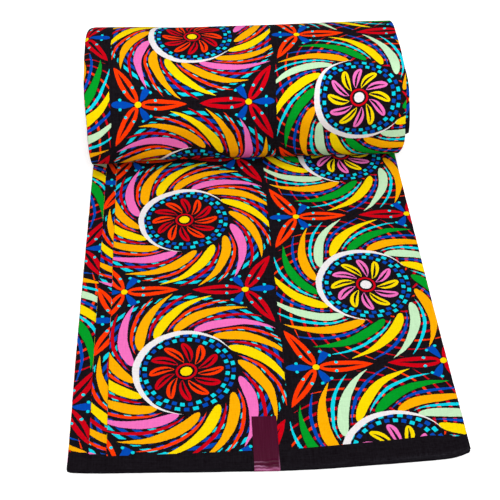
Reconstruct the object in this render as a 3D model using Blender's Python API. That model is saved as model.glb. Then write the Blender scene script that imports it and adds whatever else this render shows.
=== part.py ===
"""Wax print cloth, six yards folded to and fro into a flat stack, with its far half rolled up loosely.

Metres, +Z up, +Y away from the near end, +X to the right of someone who stands at the near end.
The stack follows one path in the YZ plane: flat, round the roll once, then a smaller curl inside it.
"""

import math
from collections import namedtuple

import bmesh
import bpy

# Driving dimensions
CLOTH_WIDTH = 1.22  # selvage to selvage, which is the length of the path
PANEL_WIDTH = 0.366  # one fold of the cloth: six yards in fifteen
FLAT_LENGTH = 0.415  # from the near end to the front of the roll
ROLL_DEPTH = 0.1806
ROLL_HEIGHT = 0.1223
CURL_DEPTH = 0.0985  # the smaller curl inside the roll
LEAF = 0.001  # one fold: two layers of cotton pressed together
HIDDEN_LEAVES = 4
SEAT = 0.0003  # clearance between pieces that lie on each other
GROOVE = 0.0013  # how far the line between two leaves runs in from their edges

# The near end bows towards the viewer, most of all a little right of the middle
BOW = 0.0048
BOW_MIDDLE = 0.0145
BOW_REACH = 0.1445
BOW_FADE = 0.24  # path length over which the bow dies away
CORNER_REACH = 0.019  # width of the rounded corners of the near end
LEFT_CORNER_BACK = 0.002
RIGHT_CORNER_BACK = 0.0053

# Label stuck over the near edge
LABEL_WIDTH = 0.0225
LABEL_CENTRE = -0.0032
LABEL_ON_TOP = 0.058
LABEL_FILM = 0.0006
LABEL_BEND = 0.0012
LABEL_FOOT = 0.0008  # height of its lower end above the surface that the stack lies on

STRAIGHT_STEP = 0.045
ARC_STEP = math.radians(12)
COLUMNS = (-0.5, -0.47, -0.15, 0.15, 0.47, 0.5)  # stations across the panel, in panel widths

HIDDEN_STACK = HIDDEN_LEAVES * LEAF
SECOND_LOW = HIDDEN_STACK + SEAT
SECOND_HIGH = SECOND_LOW + LEAF
TOP_LOW = SECOND_HIGH + SEAT
TOP_HIGH = TOP_LOW + LEAF
TURN_GAP = 0.0006  # between one turn of the roll and the turn that lies against it

# Corners of the path of the stack's outer face, each rounded to its radius
Corner = namedtuple("Corner", "name y z radius")
FRONT = FLAT_LENGTH + 0.004
FRONT_HEIGHT = ROLL_HEIGHT - 0.006
FRONT_RADIUS = 0.0591
FRONT_LEAN = 0.004  # how far the front's foot lies behind its head
ON_THE_FLAT = TOP_HIGH + SEAT


INNER_TURN = TOP_HIGH + TURN_GAP
CURL_HEIGHT = FRONT_HEIGHT - INNER_TURN


def behind_front(z):
    """The y at which the curl lies against the inside of the roll's front."""
    lean = FRONT_LEAN * (FRONT_HEIGHT - z) / (FRONT_HEIGHT - ON_THE_FLAT)
    return FRONT + lean + INNER_TURN


CORNERS = (
    Corner("near end", 0.0, 0.0, 0.0),
    Corner("back, low", FLAT_LENGTH + ROLL_DEPTH, 0.0, 0.048),
    Corner("back, high", FLAT_LENGTH + ROLL_DEPTH, ROLL_HEIGHT, 0.0507),
    Corner("front, high", FRONT, FRONT_HEIGHT, FRONT_RADIUS),
    Corner("front, low", FRONT + FRONT_LEAN, ON_THE_FLAT, 0.0306),
    Corner("curl, back low", FLAT_LENGTH + CURL_DEPTH, ON_THE_FLAT, 0.025),
    Corner("curl, back high", FLAT_LENGTH + CURL_DEPTH - 0.003, CURL_HEIGHT - 0.001, 0.023),
    Corner("curl, front high", behind_front(CURL_HEIGHT), CURL_HEIGHT, FRONT_RADIUS - INNER_TURN),
    Corner("far end", behind_front(0.0), 0.0, 0.0),
)

# Where each leaf's edges lie, in from the edges of the panel, in metres
Leaf = namedtuple("Leaf", "left right near far")
HIDDEN = (
    Leaf(0.0000, 0.0004, 0.0006, 0.0030),
    Leaf(0.0007, 0.0000, 0.0000, 0.0012),
    Leaf(0.0002, 0.0009, 0.0012, 0.0022),
    Leaf(0.0010, 0.0003, 0.0004, 0.0008),
)
SECOND = Leaf(0.0160, 0.0006, 0.0009, 0.0015)
TOP = Leaf(0.0279, 0.0002, 0.0001, 0.0000)

# Extra inset of the left edge at the near end, since the upper folds lie a little askew
SECOND_SKEW = 0.0026
TOP_SKEW = 0.0074

# How far the panel's two edges wander sideways along the path
Drift = namedtuple("Drift", "corner left right")
DRIFT = (
    Drift("near end", 0.0, 0.0),
    Drift("back, low", 0.0, 0.0),
    Drift("back, high", -0.0018, 0.0012),
    Drift("front, low", -0.0014, 0.0012),
    Drift("curl, back high", 0.0040, 0.0046),
    Drift("curl, front high", 0.0056, 0.0070),
    Drift("far end", 0.0064, 0.0080),
)

Piece = namedtuple("Piece", "kind name start length y z angle radius")


def path_pieces():
    """The straight runs and arcs of the path, each with the path length where it starts."""
    pieces = []
    travelled = 0.0
    here = (CORNERS[0].y, CORNERS[0].z)
    for before, corner, after in zip(CORNERS, CORNERS[1:], CORNERS[2:]):
        way_in = math.atan2(corner.z - before.z, corner.y - before.y)
        way_out = math.atan2(after.z - corner.z, after.y - corner.y)
        turn = (way_out - way_in) % (2 * math.pi)
        setback = corner.radius * math.tan(turn / 2)
        arc_start = (corner.y - setback * math.cos(way_in), corner.z - setback * math.sin(way_in))
        run = math.hypot(arc_start[0] - here[0], arc_start[1] - here[1])
        pieces.append(Piece("line", corner.name, travelled, run, *here, way_in, 0.0))
        travelled += run
        centre = (
            arc_start[0] - corner.radius * math.sin(way_in),
            arc_start[1] + corner.radius * math.cos(way_in),
        )
        arc = corner.radius * turn
        pieces.append(Piece("arc", corner.name, travelled, arc, *centre, way_in, corner.radius))
        travelled += arc
        here = (
            centre[0] + corner.radius * math.sin(way_out),
            centre[1] - corner.radius * math.cos(way_out),
        )
    last_way = math.atan2(CORNERS[-1].z - here[1], CORNERS[-1].y - here[0])
    rest = CLOTH_WIDTH - travelled
    pieces.append(Piece("line", CORNERS[-1].name, travelled, rest, *here, last_way, 0.0))
    return pieces


PATH = path_pieces()


def on_path(length):
    """(y, z) of the outer face and the (y, z) direction into the stack, at a length along the path."""
    piece = PATH[0]
    for candidate in PATH:
        if candidate.start <= length:
            piece = candidate
    beyond = length - piece.start
    if piece.kind == "line":
        way = piece.angle
        y = piece.y + beyond * math.cos(way)
        z = piece.z + beyond * math.sin(way)
    else:
        way = piece.angle + beyond / piece.radius
        y = piece.y + piece.radius * math.sin(way)
        z = piece.z - piece.radius * math.cos(way)
    return (y, z), (-math.sin(way), math.cos(way))


def path_stations():
    """Path lengths at which the solids have a cross section."""
    found = [0.0]
    for piece in PATH:
        if piece.kind == "line":
            steps = max(1, math.ceil(piece.length / STRAIGHT_STEP))
        else:
            steps = max(2, math.ceil(piece.length / piece.radius / ARC_STEP))
        found += [piece.start + piece.length * step / steps for step in range(1, steps + 1)]
    return found


STATIONS = path_stations()
PLACE_OF = {"near end": 0.0, "far end": CLOTH_WIDTH}
PLACE_OF.update({p.name: p.start + p.length / 2 for p in PATH if p.kind == "arc"})


def smooth(t):
    t = min(max(t, 0.0), 1.0)
    return t * t * (3 - 2 * t)


def drift(length, side):
    """Sideways wander of the left or right edge at a path length."""
    for low, high in zip(DRIFT, DRIFT[1:]):
        start, end = PLACE_OF[low.corner], PLACE_OF[high.corner]
        if length <= end:
            share = smooth((length - start) / (end - start))
            return getattr(low, side) * (1 - share) + getattr(high, side) * share
    return getattr(DRIFT[-1], side)


def bow(x, length):
    """How far a point of the near end lies back from the furthest forward one."""
    fade = max(0.0, 1 - length / BOW_FADE) ** 2
    corner = max(0.0, abs(x) - (PANEL_WIDTH / 2 - CORNER_REACH)) / CORNER_REACH
    corner_back = RIGHT_CORNER_BACK if x > 0 else LEFT_CORNER_BACK
    return fade * (BOW * ((x - BOW_MIDDLE) / BOW_REACH) ** 2 + corner_back * corner**2)


def place(length, x, height):
    """World point at a path length, a distance across and a height into the stack."""
    (y, z), (into_y, into_z) = on_path(length)
    return (x, y + height * into_y + bow(x, length), z + height * into_z)


def nose(low, high, leaf):
    """Rim rows of one leaf: its folded edge is rounded between its two faces."""
    round_off = 0.35 * (high - low)
    rows = []
    for share, extra in ((0.0, round_off), (0.3, 0.0), (0.7, 0.0), (1.0, round_off)):
        rows.append((low + share * (high - low), leaf, extra))
    return rows


def hidden_rows():
    """Rim rows of the hidden leaves, with a groove between each leaf and the next."""
    rows = []
    for number, leaf in enumerate(HIDDEN):
        low = number * LEAF
        first, *middle, last = nose(low, low + LEAF, leaf)
        if number == 0:
            rows.append(first)
        rows += middle
        if number == HIDDEN_LEAVES - 1:
            rows.append(last)
            continue
        above = HIDDEN[number + 1]
        deeper = Leaf(*(max(a, b) for a, b in zip(leaf, above)))
        rows.append((low + LEAF, deeper, GROOVE))
    return rows


def skewed(length, skew):
    return skew * max(0.0, 1 - length / FLAT_LENGTH)


def rim_point(row, station, column, skew):
    """A point of the solid, drawn in from the panel's outline where it lies on its rim."""
    height, leaf, extra = row
    length = STATIONS[station]
    if station == 0:
        length = leaf.near + extra
    elif station == len(STATIONS) - 1:
        length = CLOTH_WIDTH - leaf.far - extra
    left = -PANEL_WIDTH / 2 + drift(length, "left") + leaf.left + skewed(length, skew)
    right = PANEL_WIDTH / 2 + drift(length, "right") - leaf.right
    if column == 0:
        x = left + extra
    elif column == len(COLUMNS) - 1:
        x = right - extra
    else:
        x = left + (right - left) * (COLUMNS[column] + 0.5)
    return place(length, x, height)


def rim_loop():
    """Grid places round the rim: up the left edge, across the far end and back."""
    last_station, last_column = len(STATIONS) - 1, len(COLUMNS) - 1
    loop = [(station, 0) for station in range(last_station)]
    loop += [(last_station, column) for column in range(last_column)]
    loop += [(station, last_column) for station in range(last_station, 0, -1)]
    loop += [(0, column) for column in range(last_column, 0, -1)]
    return loop


def slab(name, rows, skew, material):
    """A closed solid that follows the path: a rim of rows between an outer and an inner face."""
    mesh = bmesh.new()
    loop = rim_loop()
    rings = [
        {place_in_grid: mesh.verts.new(rim_point(row, *place_in_grid, skew)) for place_in_grid in loop}
        for row in rows
    ]
    for lower, upper in zip(rings, rings[1:]):
        for here, ahead in zip(loop, loop[1:] + loop[:1]):
            mesh.faces.new((lower[here], upper[here], upper[ahead], lower[ahead]))
    for ring, row, outward in ((rings[0], rows[0], True), (rings[-1], rows[-1], False)):
        grid = dict(ring)
        for station in range(1, len(STATIONS) - 1):
            for column in range(1, len(COLUMNS) - 1):
                grid[station, column] = mesh.verts.new(rim_point(row, station, column, skew))
        for station in range(len(STATIONS) - 1):
            for column in range(len(COLUMNS) - 1):
                corners = [
                    grid[station, column],
                    grid[station, column + 1],
                    grid[station + 1, column + 1],
                    grid[station + 1, column],
                ]
                mesh.faces.new(corners[::-1] if outward else corners)
    return finished(name, mesh, material)


def finished(name, mesh, material):
    bmesh.ops.recalc_face_normals(mesh, faces=mesh.faces)
    data = bpy.data.meshes.new(name)
    mesh.to_mesh(data)
    mesh.free()
    data.shade_smooth()
    data.set_sharp_from_angle(angle=math.radians(50))
    data.materials.append(material)
    made = bpy.data.objects.new(name, data)
    bpy.context.scene.collection.objects.link(made)
    return made


def label_section():
    """(y, z) points down the label: along the top, round the near edge and down to its foot."""
    top = TOP_HIGH + SEAT
    front = 0.0
    points = [(LABEL_ON_TOP, top), (LABEL_BEND + front, top)]
    for step in range(1, 6):
        angle = math.radians(90 * step / 5)
        points.append(
            (front + LABEL_BEND * (1 - math.sin(angle)), top - LABEL_BEND * (1 - math.cos(angle)))
        )
    points.append((front, LABEL_FOOT))
    return points


def label_outside(points):
    """The same points moved out by the film's thickness."""
    moved = []
    for number, (y, z) in enumerate(points):
        before = points[max(number - 1, 0)]
        after = points[min(number + 1, len(points) - 1)]
        along_y, along_z = after[0] - before[0], after[1] - before[1]
        reach = math.hypot(along_y, along_z)
        moved.append((y + LABEL_FILM * along_z / reach, z - LABEL_FILM * along_y / reach))
    return moved


def edge_label(material):
    inside = label_section()
    outline = inside + label_outside(inside)[::-1]
    mesh = bmesh.new()
    ends = []
    for side in (-0.5, 0.5):
        x = LABEL_CENTRE + side * LABEL_WIDTH
        near = bow(x, 0.0)
        ends.append([mesh.verts.new((x, y + near * (1 - y / BOW_FADE) ** 2, z)) for y, z in outline])
    count, sides = len(outline), len(inside)
    for number in range(count):
        ahead = (number + 1) % count
        mesh.faces.new((ends[0][number], ends[0][ahead], ends[1][ahead], ends[1][number]))
    for end in ends:
        for number in range(sides - 1):
            mesh.faces.new(
                (end[number], end[number + 1], end[count - 2 - number], end[count - 1 - number])
            )
    return finished("edge_label", mesh, material)


def painted(name, colour, roughness):
    material = bpy.data.materials.new(name)
    material.use_nodes = True
    shader = material.node_tree.nodes["Principled BSDF"]
    shader.inputs["Base Color"].default_value = (*colour, 1.0)
    shader.inputs["Roughness"].default_value = roughness
    shader.inputs["Metallic"].default_value = 0.0
    return material


def centre_on_base(objects):
    """Puts the origin at the bottom centre of the whole bundle."""
    points = [vertex.co for made in objects for vertex in made.data.vertices]
    middle_x = (min(p.x for p in points) + max(p.x for p in points)) / 2
    middle_y = (min(p.y for p in points) + max(p.y for p in points)) / 2
    for point in points:
        point.x -= middle_x
        point.y -= middle_y


for old in list(bpy.data.objects):
    bpy.data.objects.remove(old, do_unlink=True)

amber = painted("amber cotton", (0.85, 0.36, 0.01), 0.8)
red = painted("red cotton", (0.60, 0.01, 0.02), 0.8)
blue = painted("blue cotton", (0.01, 0.07, 0.50), 0.8)
purple = painted("purple film", (0.07, 0.01, 0.03), 0.25)
bundle = [
    slab("folded_stack", hidden_rows(), 0.0, amber),
    slab("second_panel", nose(SECOND_LOW, SECOND_HIGH, SECOND), SECOND_SKEW, red),
    slab("top_panel", nose(TOP_LOW, TOP_HIGH, TOP), TOP_SKEW, blue),
    edge_label(purple),
]
centre_on_base(bundle)
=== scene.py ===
import math
import random

import bpy
from mathutils import Matrix, Vector


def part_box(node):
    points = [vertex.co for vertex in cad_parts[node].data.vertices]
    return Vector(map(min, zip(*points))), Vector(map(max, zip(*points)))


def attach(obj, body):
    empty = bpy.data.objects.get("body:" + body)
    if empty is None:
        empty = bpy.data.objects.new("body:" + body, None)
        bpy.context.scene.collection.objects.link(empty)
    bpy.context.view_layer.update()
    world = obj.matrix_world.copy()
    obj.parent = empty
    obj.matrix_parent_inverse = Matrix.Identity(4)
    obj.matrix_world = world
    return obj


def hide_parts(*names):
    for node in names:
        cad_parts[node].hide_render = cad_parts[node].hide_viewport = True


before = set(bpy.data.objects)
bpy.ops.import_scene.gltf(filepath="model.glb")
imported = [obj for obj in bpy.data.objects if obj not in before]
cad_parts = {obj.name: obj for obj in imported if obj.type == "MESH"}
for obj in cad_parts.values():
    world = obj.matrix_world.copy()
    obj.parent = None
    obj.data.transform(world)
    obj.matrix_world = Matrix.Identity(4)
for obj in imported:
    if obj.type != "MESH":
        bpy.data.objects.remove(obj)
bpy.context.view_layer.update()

# Wax print cotton, six yards folded to and fro into a flat stack, its far half rolled up loosely.
# Every layer is built flat, printed on its own flat place, and rolled up along one path by Geometry Nodes.

bundle = {  # metres, as the solids have them
    "clothWidth": 1.22,  # selvage to selvage, which is the length of the path
    "panelWidth": 0.366,  # one fold of the cloth
    "flatLength": 0.415,
    "rollDepth": 0.1806,
    "rollHeight": 0.1223,
    "curlDepth": 0.0985,
    "topFace": 0.0066,  # height of the uppermost face above the underside
    "seat": 0.0003,  # gap under a piece that lies on another
    "turnGap": 0.0006,  # gap between one turn of the roll and the next
    "leadIn": 0.02,  # straight run before the near end, for what hangs over the edge
    "widestDrift": 0.0018,  # how far the solids' left edge strays past half the fold's width
    "sharpAngle": 55,  # degrees between two faces, past which the edge stays sharp
}


# Node trees, written as sums


def feed(entry, value):
    if isinstance(value, Wire):
        value.tree.links.new(value.socket, entry)
    else:
        entry.default_value = value


def newNode(tree, kind, *values, **settings):
    made = tree.nodes.new(kind)
    for name, setting in settings.items():
        setattr(made, name, setting)
    for entry, value in zip(made.inputs, values):
        if value is not None:
            feed(entry, value)
    return made


class Wire:  # a socket that can be added, multiplied and so on, so that node maths reads as a formula
    def __init__(self, socket):
        self.socket = socket
        self.tree = socket.id_data

    def maths(self, operation, *others):
        return Wire(newNode(self.tree, "ShaderNodeMath", self, *others, operation=operation).outputs[0])

    def vector(self, operation, *others):
        made = newNode(self.tree, "ShaderNodeVectorMath", self, *others, operation=operation)
        return Wire(made.outputs["Value" if operation in ("DOT_PRODUCT", "DISTANCE") else "Vector"])

    def __add__(self, other):
        return self.maths("ADD", other)

    def __sub__(self, other):
        return self.maths("SUBTRACT", other)

    def __rsub__(self, other):
        return self * -1.0 + other

    def __mul__(self, other):
        return self.maths("MULTIPLY", other)

    def __truediv__(self, other):
        return self.maths("DIVIDE", other)

    def __pow__(self, other):
        return self.maths("POWER", other)

    def size(self):
        return self.maths("ABSOLUTE")

    def below(self, other):
        return self.maths("LESS_THAN", other)

    def above(self, other):
        return self.maths("GREATER_THAN", other)

    def split(self):
        return [Wire(socket) for socket in newNode(self.tree, "ShaderNodeSeparateXYZ", self).outputs]

    def ramp(self, start, end, low=0.0, high=1.0, kind="SMOOTHSTEP"):
        limits = (start, end, low, high)
        made = newNode(self.tree, "ShaderNodeMapRange", self, *limits, interpolation_type=kind)
        return Wire(made.outputs["Result"])


def joinAxes(tree, x, y, z):
    return Wire(newNode(tree, "ShaderNodeCombineXYZ", x, y, z).outputs[0])


def startTree(name, kind, takes, gives):
    tree = bpy.data.node_groups.new(name, kind)
    for entry, sort in takes:
        tree.interface.new_socket(entry, in_out="INPUT", socket_type="NodeSocket" + sort)
    for entry, sort in gives:
        tree.interface.new_socket(entry, in_out="OUTPUT", socket_type="NodeSocket" + sort)
    given = tree.nodes.new("NodeGroupInput")
    out = tree.nodes.new("NodeGroupOutput")
    return tree, {socket.name: Wire(socket) for socket in given.outputs if socket.name}, out


def linked(name, data):
    made = bpy.data.objects.new(name, data)
    bpy.context.scene.collection.objects.link(made)
    return made


def useGroup(tree, group, **values):
    kind = "GeometryNodeGroup" if tree.type == "GEOMETRY" else "ShaderNodeGroup"
    made = newNode(tree, kind, node_tree=group)
    for name, value in values.items():
        feed(made.inputs[name], value)
    return {socket.name: Wire(socket) for socket in made.outputs}


# The path that the stack follows: flat, once round the roll, then the smaller curl inside it

rollShape = {
    "frontBack": 0.004,  # how far the roll's front lies behind the end of the flat
    "frontDrop": 0.006,  # how much lower the corner at the front is than the one at the back
    "frontLean": 0.004,  # how far the front's foot lies behind its top
    "curlLean": 0.003,
    "curlDrop": 0.001,
    "backFoot": 0.048,  # radii of the rounded corners, in the order in which the path meets them
    "backTop": 0.0507,
    "frontTop": 0.0591,
    "frontFoot": 0.0306,
    "curlFoot": 0.025,
    "curlTop": 0.023,
    "arcPoints": 48,  # round each corner
}


def foldCorners():
    flat, depth, height = bundle["flatLength"], bundle["rollDepth"], bundle["rollHeight"]
    onFlat = bundle["topFace"] + bundle["seat"]
    innerTurn = bundle["topFace"] + bundle["turnGap"]
    front, lean = flat + rollShape["frontBack"], rollShape["frontLean"]
    frontHeight = height - rollShape["frontDrop"]
    curlBack, curlHeight = flat + bundle["curlDepth"], frontHeight - innerTurn

    def behindFront(z):
        return front + lean * (frontHeight - z) / (frontHeight - onFlat) + innerTurn

    return [  # y, z, radius of the rounded corner
        (-bundle["leadIn"], 0.0, 0.0),
        (flat + depth, 0.0, rollShape["backFoot"]),
        (flat + depth, height, rollShape["backTop"]),
        (front, frontHeight, rollShape["frontTop"]),
        (front + lean, onFlat, rollShape["frontFoot"]),
        (curlBack, onFlat, rollShape["curlFoot"]),
        (curlBack - rollShape["curlLean"], curlHeight - rollShape["curlDrop"], rollShape["curlTop"]),
        (behindFront(curlHeight), curlHeight, rollShape["frontTop"] - innerTurn),
        (behindFront(0.0), 0.0, 0.0),
    ]


def drawFoldPath():
    line = bpy.data.curves.new("foldPath", "CURVE")
    line.dimensions = "3D"
    run = line.splines.new("POLY")
    corners = foldCorners()
    run.points.add(len(corners) - 1)
    for point, (y, z, radius) in zip(run.points, corners):
        point.co = (0.0, y, z, 1.0)
        point.radius = radius
    return linked("foldPath", line)


# Sag, swells and creases, in the place where the cloth lies, so that all layers take them together

sagOfRoll = [  # share across the roll, left to right, and how far its top has sunk
    (0.0, 0.0),
    (0.07, 0.0017),
    (0.19, 0.0025),
    (0.27, 0.0037),
    (0.42, 0.0031),
    (0.58, 0.0024),
    (0.70, 0.0017),
    (0.84, 0.0004),
    (0.93, 0.0),
    (1.0, 0.0),
]

creasesOnFlat = [  # from x, y, to x, y, half width, lift
    (-0.136, 0.050, -0.128, 0.330, 0.013, 0.0007),
    (-0.060, 0.090, 0.015, 0.350, 0.024, -0.0010),
    (0.112, 0.040, 0.088, 0.300, 0.019, 0.0009),
    (-0.030, 0.015, -0.070, 0.130, 0.012, 0.0007),
    (0.022, 0.012, 0.062, 0.115, 0.010, -0.0006),
    (-0.165, 0.392, 0.160, 0.380, 0.017, 0.0012),
    (0.148, 0.130, 0.172, 0.365, 0.011, -0.0007),
    (-0.095, 0.200, -0.122, 0.370, 0.015, 0.0007),
    (0.010, 0.250, 0.140, 0.190, 0.017, -0.0008),
    (0.130, 0.004, 0.176, 0.060, 0.016, 0.0011),
    (-0.176, 0.010, -0.120, 0.050, 0.013, 0.0008),
]

# Way round the roll in metres: its front is at 0, its top at 0.094
creasesRoundRoll = [  # from x, way round, to x, way round, half width, lift
    (-0.178, 0.030, 0.040, 0.046, 0.013, 0.0013),
    (-0.030, 0.006, 0.180, -0.006, 0.011, -0.0011),
    (-0.130, -0.024, 0.030, -0.010, 0.010, 0.0010),
    (0.050, 0.070, 0.180, 0.058, 0.013, -0.0013),
    (-0.160, 0.104, -0.020, 0.112, 0.016, 0.0012),
    (0.020, 0.128, 0.175, 0.120, 0.013, -0.0012),
    (-0.110, 0.168, 0.090, 0.182, 0.015, -0.0015),
    (0.000, 0.214, 0.170, 0.202, 0.012, 0.0012),
    (-0.178, 0.150, -0.050, 0.160, 0.011, 0.0010),
    (-0.092, 0.052, -0.070, 0.100, 0.013, -0.0011),
    (0.086, 0.020, 0.098, 0.066, 0.011, 0.0009),
    (-0.150, -0.010, -0.138, 0.034, 0.010, -0.0008),
]

settling = {
    "axisY": 0.508,  # middle of the roll, along the path's own frame
    "axisZ": 0.061,
    "reach": 0.06,  # the way round the roll is the angle times this
    "countFrom": -2.2,  # angle at which the way round the roll starts
    "sagHeights": (0.050, 0.118),  # where the roll starts to sink, and where it has sunk in full
    "cornerDroop": 0.0044,  # the roll's left end, rounded off at the top
    "cornerAcross": (-0.189, -0.178),  # a pair is where an effect starts and where it is full or gone
    "cornerHeights": (0.085, 0.118),
    "footForward": 0.0080,  # the roll's left end, pushed forward above the flat
    "footAcross": (-0.175, -0.090),
    "footAlong": (0.438, 0.470),
    "footHeights": (0.0085, 0.022),
    "footFades": (0.045, 0.080),
    "flatAlong": (0.385, 0.425),  # the swells on the flat die away from here to the roll's foot
    "flatHeights": (0.009, 0.013),
    "rollHeights": (0.010, 0.034),  # the roll's own swells start above the flat
    "rollReach": (0.020, 0.048),  # distance from the roll's axis
    "swell": 0.0007,  # height of the soft swells between the creases
    "swellsOnFlat": 9.0,  # how close the swells lie
    "swellsRoundRoll": 11.0,
    "wander": 0.006,  # how far a crease strays from its straight line
    "wanderScale": 14.0,
    "fade": 0.8,  # how slowly a crease dies away towards its ends
    "seed": 4.0,
}


def creaseGroup():
    group, given, out = startTree(
        "softCrease",
        "GeometryNodeTree",
        [
            ("Place", "Vector"),
            ("From", "Vector"),
            ("To", "Vector"),
            ("HalfWidth", "Float"),
            ("Lift", "Float"),
        ],
        [("Lift", "Float")],
    )
    along = given["To"].vector("SUBTRACT", given["From"])
    away = given["Place"].vector("SUBTRACT", given["From"])
    share = away.vector("DOT_PRODUCT", along) / along.vector("DOT_PRODUCT", along)
    share = share.ramp(0.0, 1.0, kind="LINEAR")
    nearest = newNode(group, "ShaderNodeVectorMath", along, operation="SCALE")
    feed(nearest.inputs["Scale"], share)
    off = away.vector("DISTANCE", Wire(nearest.outputs["Vector"])) / given["HalfWidth"]
    ridge = (off * off * -1.0).maths("EXPONENT")
    fade = (share * 4.0 * (1.0 - share)) ** settling["fade"]  # one in the middle, nothing at the ends
    feed(out.inputs["Lift"], ridge * fade * given["Lift"])
    return group


def settleGroup():
    group, given, out = startTree(
        "settleCloth", "GeometryNodeTree", [("Position", "Vector")], [("Position", "Vector")]
    )
    x, y, z = given["Position"].split()
    crease = creaseGroup()

    def lifts(place, rows):
        total = None
        for fromX, fromY, toX, toY, halfWidth, lift in rows:
            one = useGroup(
                group,
                crease,
                Place=place,
                From=(fromX, fromY, 0.0),
                To=(toX, toY, 0.0),
                HalfWidth=halfWidth,
                Lift=lift,
            )["Lift"]
            total = one if total is None else total + one
        return total

    def noise(place, scale, *detail):
        return newNode(
            group, "ShaderNodeTexNoise", place, settling["seed"], scale, *detail, noise_dimensions="4D"
        )

    def swells(place, scale):
        return (Wire(noise(place, scale, 1.0, 0.4).outputs[0]) - 0.5) * (settling["swell"] * 2)

    def wandering(place):
        bend = Wire(noise(place, settling["wanderScale"], 1.0).outputs["Color"])
        bend = bend.vector("SUBTRACT", (0.5, 0.5, 0.5))
        bend = bend.vector("MULTIPLY", (settling["wander"], settling["wander"], 0.0))
        return place.vector("ADD", bend)

    # On the flat the underside stays down and the top face takes the whole lift
    onFlat = joinAxes(group, x, y, 0.0)
    lift = lifts(wandering(onFlat), creasesOnFlat) + swells(onFlat, settling["swellsOnFlat"])
    lift = lift * y.ramp(*settling["flatAlong"], 1.0, 0.0)
    lift = lift * (z / bundle["topFace"]).ramp(0.0, 1.0, kind="LINEAR")
    flatLift = lift * z.ramp(*settling["flatHeights"], 1.0, 0.0)

    # Round the roll the turns swell and sink together, away from its axis
    outY = (y - settling["axisY"]) * -1.0
    outZ = z - settling["axisZ"]
    wayRound = outZ.maths("ARCTAN2", outY)
    startsAnew = wayRound.below(settling["countFrom"]) * (2 * math.pi)
    wayRound = (wayRound + startsAnew) * settling["reach"]
    roundRoll = joinAxes(group, x, wayRound, 0.0)
    distance = (outY * outY + outZ * outZ).maths("SQRT")
    puff = lifts(wandering(roundRoll), creasesRoundRoll) + swells(roundRoll, settling["swellsRoundRoll"])
    puff = puff * z.ramp(*settling["rollHeights"]) * distance.ramp(*settling["rollReach"])
    puff = puff * y.ramp(*settling["flatAlong"])

    # The roll's top sinks between its ends, its left corner droops and its left foot comes forward
    profile = newNode(group, "ShaderNodeFloatCurve", 1.0, (x / bundle["panelWidth"]) + 0.5)
    line = profile.mapping.curves[0]
    deepest = max(depth for share, depth in sagOfRoll)
    for share, depth in sagOfRoll[1:-1]:
        line.points.new(share, depth / deepest)
    line.points[0].location = (0.0, 0.0)
    line.points[-1].location = (1.0, 0.0)
    profile.mapping.update()
    sag = Wire(profile.outputs[0]) * z.ramp(*settling["sagHeights"]) * deepest
    droop = x.ramp(*settling["cornerAcross"], settling["cornerDroop"], 0.0)
    sag = sag + droop * z.ramp(*settling["cornerHeights"])
    forward = x.ramp(*settling["footAcross"], settling["footForward"], 0.0)
    forward = forward * y.ramp(*settling["footAlong"], 1.0, 0.0)
    forward = forward * z.ramp(*settling["footHeights"]) * z.ramp(*settling["footFades"], 1.0, 0.0)
    forward = forward + puff * (outY / distance)

    moved = joinAxes(group, x, y - forward, z + flatLift + puff * (outZ / distance) - sag)
    feed(out.inputs["Position"], moved)
    return group


def rollTree():
    tree, given, out = startTree(
        "rollUp",
        "GeometryNodeTree",
        [
            ("Geometry", "Geometry"),
            ("Path", "Object"),
            ("LeadIn", "Float"),
            ("Centre", "Vector"),
            ("Finish", "Material"),
        ],
        [("Geometry", "Geometry")],
    )
    path = newNode(tree, "GeometryNodeObjectInfo")
    feed(path.inputs["Object"], given["Path"])
    radius = Wire(newNode(tree, "GeometryNodeInputRadius").outputs[0])
    rounded = newNode(tree, "GeometryNodeFilletCurve", mode="POLY")
    feed(rounded.inputs["Curve"], Wire(path.outputs["Geometry"]))
    feed(rounded.inputs["Count"], rollShape["arcPoints"])
    feed(rounded.inputs["Radius"], radius)
    across, along, height = Wire(newNode(tree, "GeometryNodeInputPosition").outputs[0]).split()
    reader = newNode(tree, "GeometryNodeSampleCurve", mode="LENGTH")
    feed(reader.inputs["Curves"], Wire(rounded.outputs["Curve"]))
    feed(reader.inputs["Length"], along + given["LeadIn"])
    _, onY, onZ = Wire(reader.outputs["Position"]).split()
    _, wayY, wayZ = Wire(reader.outputs["Tangent"]).split()
    rolled = joinAxes(tree, across, onY - height * wayZ, onZ + height * wayY)
    settled = useGroup(tree, settleGroup(), Position=rolled)["Position"]
    placed = newNode(tree, "GeometryNodeSetPosition")
    feed(placed.inputs["Geometry"], given["Geometry"])
    feed(placed.inputs["Position"], settled.vector("SUBTRACT", given["Centre"]))
    single = newNode(tree, "GeometryNodeRealizeInstances", Wire(placed.outputs[0]))
    dressed = newNode(tree, "GeometryNodeSetMaterial", Wire(single.outputs[0]))
    feed(dressed.inputs["Material"], given["Finish"])
    feed(out.inputs["Geometry"], Wire(dressed.outputs[0]))
    return tree


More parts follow.
